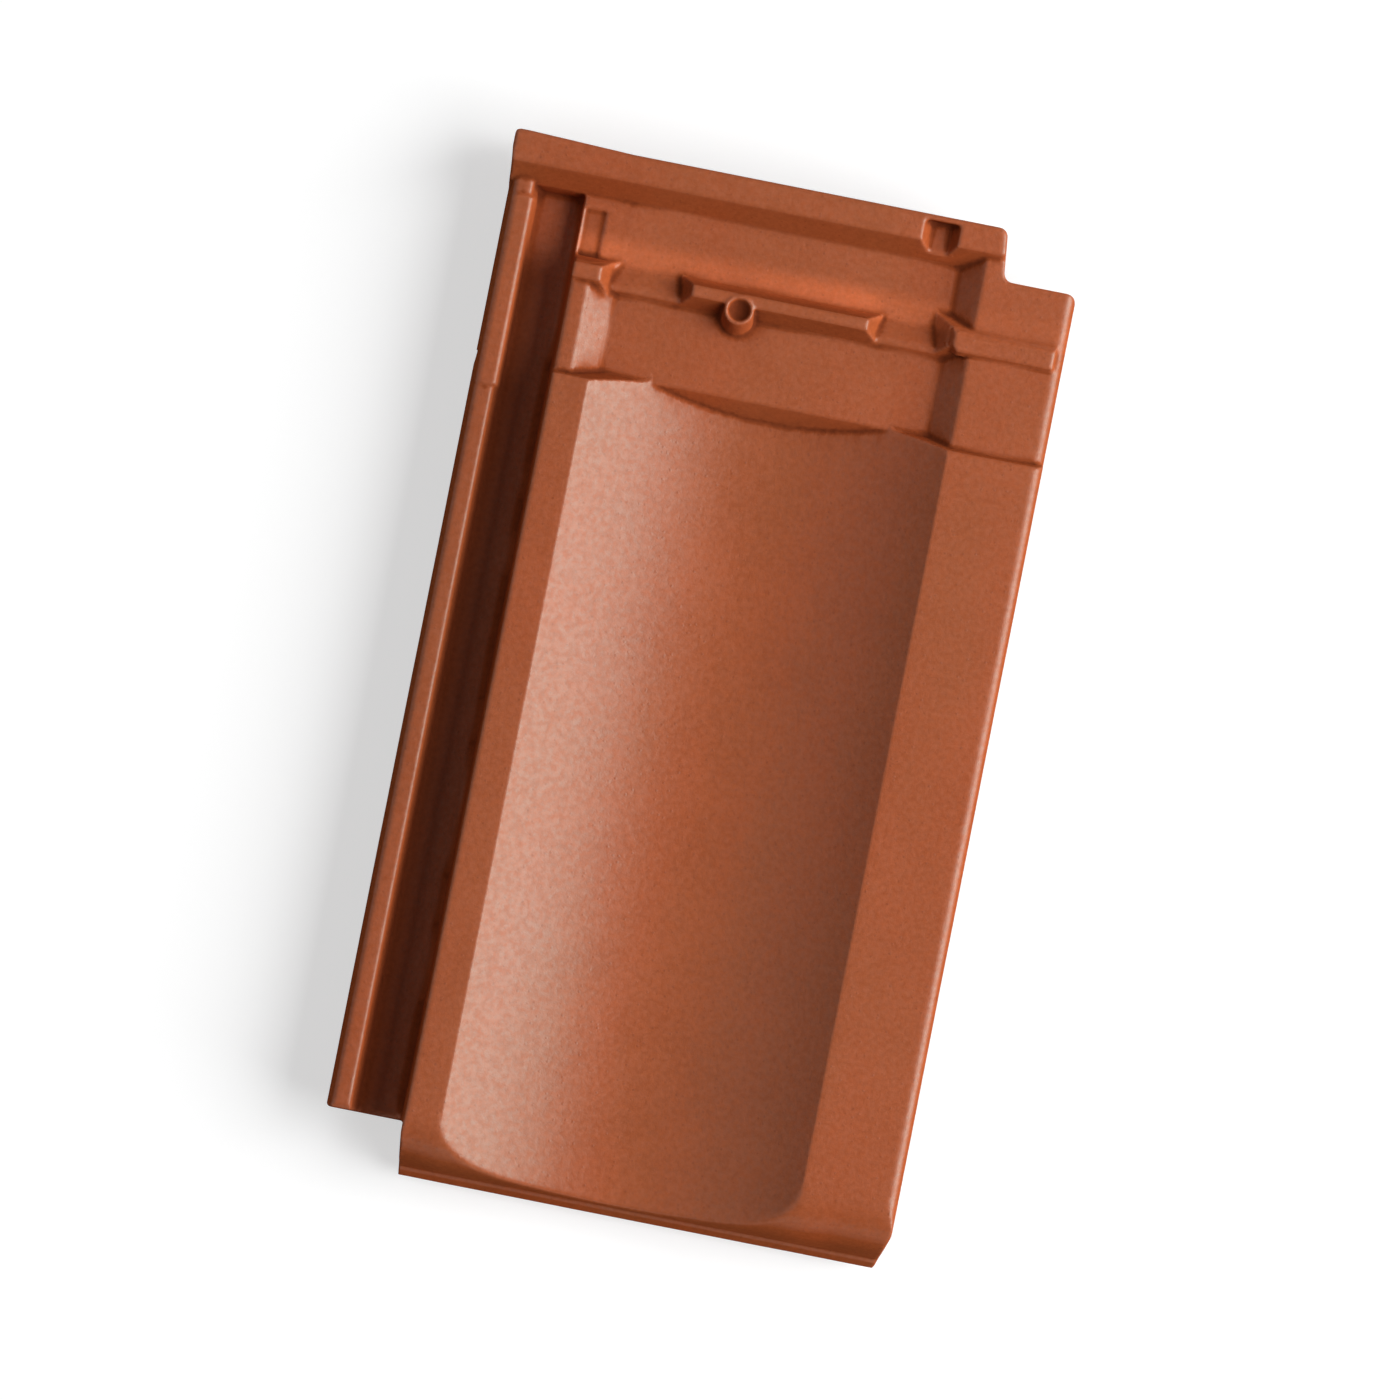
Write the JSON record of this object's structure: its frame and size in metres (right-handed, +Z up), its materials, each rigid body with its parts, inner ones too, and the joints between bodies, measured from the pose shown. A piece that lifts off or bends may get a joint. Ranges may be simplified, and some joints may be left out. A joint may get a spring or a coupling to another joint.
{
  "type": "clay roof tile",
  "caption": "Rectangular interlocking clay roof tile with a shallow round trough, a ribbed side lock, a stepped head lap with rim and lock blocks, a rolled nose and hanging lugs.",
  "frame": {"origin": "middle of the tile's footprint, on the floor that its hanging lugs and nose stand on", "axes": "+X across the tile towards the cover lock, +Y along the tile towards the head, +Z up out of the weather side"},
  "size_m": [0.25, 0.45, 0.0485],
  "materials": {
    "fired_clay": "satin red-brown engobe over fired clay, fine sandy grain"
  },
  "bodies": {
    "root": {"roof_tile": "fired_clay"}
  },
  "joints": []
}
